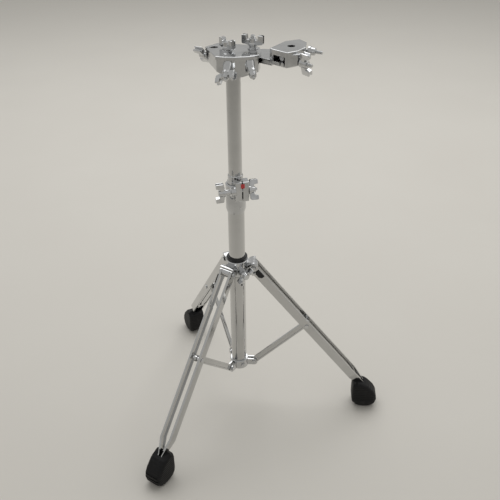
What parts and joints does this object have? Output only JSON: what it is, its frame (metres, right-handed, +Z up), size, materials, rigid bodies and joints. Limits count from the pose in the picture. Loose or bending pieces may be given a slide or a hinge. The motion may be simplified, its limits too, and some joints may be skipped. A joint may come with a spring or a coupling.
{
  "type": "double-braced tripod drum stand",
  "caption": "Chrome double-braced tripod stand with a sliding centre tube, memory lock and a clamp head that grips rods for a pair of drums.",
  "frame": {"origin": "where the tube axis meets the floor", "axes": "+Z up along the tubes; +X to the right and +Y away, seen from the wing bolts' side"},
  "size_m": [0.4905, 0.5345, 0.802],
  "materials": {
    "tube_chrome": "bright mirror plating on drawn tube",
    "cast_chrome": "bright plating over a slightly uneven casting",
    "strip_chrome": "bright plating on rolled strip",
    "hardware_chrome": "plated threads, pins and wing parts with light wear",
    "black_nylon": "moulded, satin",
    "black_rubber": "matt moulded rubber, dusty at the sole",
    "red_enamel": "glossy enamel, plain"
  },
  "bodies": {
    "collar": {"leg_collar": "cast_chrome", "collar_bushing": "black_nylon", "leg_pivot_bolts": "hardware_chrome"},
    "collar_bolt": {"collar_wing_bolt": "hardware_chrome"},
    "base": {"base_tube": "tube_chrome", "lower_hub": "cast_chrome", "hub_screw": "hardware_chrome", "hub_pins": "hardware_chrome", "height_clamp": "cast_chrome", "clamp_screw": "hardware_chrome", "clamp_bushing": "black_nylon", "clamp_badge": "red_enamel"},
    "clamp_bolt": {"clamp_wing_bolt": "hardware_chrome"},
    "clamp_nut": {"clamp_wing_nut": "hardware_chrome"},
    "mid": {"mid_tube": "tube_chrome", "mid_tube_glide": "black_nylon", "memory_lock": "cast_chrome", "memory_lock_screw": "hardware_chrome"},
    "head": {"head_casting": "cast_chrome", "head_top_plate": "cast_chrome", "front_left_stud": "hardware_chrome", "front_right_stud": "hardware_chrome", "centre_stud": "hardware_chrome", "centre_washer": "hardware_chrome", "arm_stud": "hardware_chrome", "arm_washers": "hardware_chrome"},
    "front_left_nut": {"front_left_wing_nut": "hardware_chrome"},
    "front_right_nut": {"front_right_cone_nut": "hardware_chrome"},
    "socket_bolt": {"socket_wing_bolt": "hardware_chrome"},
    "centre_nut": {"centre_wing_nut": "hardware_chrome"},
    "arm_nut": {"arm_wing_nut": "hardware_chrome"},
    "arm": {"swing_arm": "cast_chrome", "arm_block": "cast_chrome", "arm_block_jaw": "cast_chrome", "arm_block_plunger": "hardware_chrome", "block_upper_stud": "hardware_chrome", "block_lower_stud": "hardware_chrome"},
    "block_upper_nut": {"block_upper_cone_nut": "hardware_chrome"},
    "block_lower_nut": {"block_lower_wing_nut": "hardware_chrome"},
    "leg_a": {"leg_a_left_strip": "strip_chrome", "leg_a_right_strip": "strip_chrome", "leg_a_rivet": "hardware_chrome", "leg_a_stop_block": "black_nylon", "leg_a_foot": "black_rubber"},
    "brace_a": {"brace_a": "strip_chrome"},
    "leg_b": {"leg_b_left_strip": "strip_chrome", "leg_b_right_strip": "strip_chrome", "leg_b_rivet": "hardware_chrome", "leg_b_stop_block": "black_nylon", "leg_b_foot": "black_rubber"},
    "brace_b": {"brace_b": "strip_chrome"},
    "leg_c": {"leg_c_left_strip": "strip_chrome", "leg_c_right_strip": "strip_chrome", "leg_c_rivet": "hardware_chrome", "leg_c_stop_block": "black_nylon", "leg_c_foot": "black_rubber"},
    "brace_c": {"brace_c": "strip_chrome"}
  },
  "joints": [
    {"name": "base_slide", "type": "slide", "parent": "collar", "child": "base", "axis": [0, 0, 1], "range_m": [-0.07263, 0]},
    {"name": "leg_a_fold", "type": "hinge", "parent": "collar", "child": "leg_a", "pos_m": [-0.01921, -0.02683, 0.355], "axis": [0.8131, -0.5821, 0], "range_deg": [0, 24.1]},
    {"name": "brace_a_fold", "type": "hinge", "parent": "leg_a", "child": "brace_a", "pos_m": [-0.083, -0.11593, 0.21575], "axis": [0.8131, -0.5821, 0], "range_deg": [-53.1, 0]},
    {"name": "leg_b_fold", "type": "hinge", "parent": "collar", "child": "leg_b", "pos_m": [0.03284, -0.00322, 0.355], "axis": [0.0976, 0.9952, 0], "range_deg": [0, 24.1]},
    {"name": "brace_b_fold", "type": "hinge", "parent": "leg_b", "child": "brace_b", "pos_m": [0.1419, -0.01391, 0.21575], "axis": [0.0976, 0.9952, 0], "range_deg": [-53.1, 0]},
    {"name": "leg_c_fold", "type": "hinge", "parent": "collar", "child": "leg_c", "pos_m": [-0.01363, 0.03005, 0.355], "axis": [-0.9107, -0.4131, 0], "range_deg": [0, 24.1]},
    {"name": "brace_c_fold", "type": "hinge", "parent": "leg_c", "child": "brace_c", "pos_m": [-0.0589, 0.12985, 0.21575], "axis": [-0.9107, -0.4131, 0], "range_deg": [-53.1, 0]},
    {"name": "collar_bolt_turn", "type": "hinge", "parent": "collar", "child": "collar_bolt", "pos_m": [0.01297, -0.02859, 0.351], "axis": [0.4131, -0.9107, 0], "continuous": true},
    {"name": "clamp_bolt_turn", "type": "hinge", "parent": "base", "child": "clamp_bolt", "pos_m": [0.00551, -0.02592, 0.533], "axis": [0.9781, 0.2079, 0], "continuous": true},
    {"name": "clamp_nut_turn", "type": "hinge", "parent": "base", "child": "clamp_nut", "pos_m": [0.00551, -0.02592, 0.533], "axis": [0.9781, 0.2079, 0], "continuous": true},
    {"name": "mid_slide", "type": "slide", "parent": "base", "child": "mid", "axis": [0, 0, 1], "range_m": [0, 0.15]},
    {"name": "head_turn", "type": "hinge", "parent": "mid", "child": "head", "pos_m": [0, 0, 0.77], "axis": [0, 0, 1], "continuous": true},
    {"name": "front_left_nut_turn", "type": "hinge", "parent": "head", "child": "front_left_nut", "pos_m": [-0.008, -0.028, 0.7655], "axis": [-0.151, -0.8051, -0.5736], "continuous": true},
    {"name": "front_right_nut_turn", "type": "hinge", "parent": "head", "child": "front_right_nut", "pos_m": [0.027, -0.025, 0.767], "axis": [0.2011, -0.7944, -0.5732], "continuous": true},
    {"name": "socket_bolt_turn", "type": "hinge", "parent": "head", "child": "socket_bolt", "pos_m": [-0.031, 0.028, 0.763], "axis": [-0.8486, 0.5291, 0], "continuous": true},
    {"name": "centre_nut_turn", "type": "hinge", "parent": "head", "child": "centre_nut", "pos_m": [-0.0087, 0.0115, 0.781], "axis": [0, 0, 1], "continuous": true},
    {"name": "arm_nut_turn", "type": "hinge", "parent": "head", "child": "arm_nut", "pos_m": [0.034, 0.014, 0.785], "axis": [0, 0, 1], "continuous": true},
    {"name": "arm_swing", "type": "hinge", "parent": "head", "child": "arm", "pos_m": [0.034, 0.014, 0.768], "axis": [0, 0, 1], "range_deg": [-6, 20]},
    {"name": "block_upper_nut_turn", "type": "hinge", "parent": "arm", "child": "block_upper_nut", "pos_m": [0.111, -0.015, 0.7845], "axis": [0.911, -0.4105, -0.04], "continuous": true},
    {"name": "block_lower_nut_turn", "type": "hinge", "parent": "arm", "child": "block_lower_nut", "pos_m": [0.096, -0.043, 0.7775], "axis": [0.6998, -0.7098, -0.08], "continuous": true}
  ],
  "couplings": [
    {"joint": "leg_a_fold", "follows": "base_slide", "rad_per_m": -5.7667},
    {"joint": "brace_a_fold", "follows": "base_slide", "rad_per_m": 12.736},
    {"joint": "leg_b_fold", "follows": "base_slide", "rad_per_m": -5.7667},
    {"joint": "brace_b_fold", "follows": "base_slide", "rad_per_m": 12.736},
    {"joint": "leg_c_fold", "follows": "base_slide", "rad_per_m": -5.7667},
    {"joint": "brace_c_fold", "follows": "base_slide", "rad_per_m": 12.736}
  ]
}
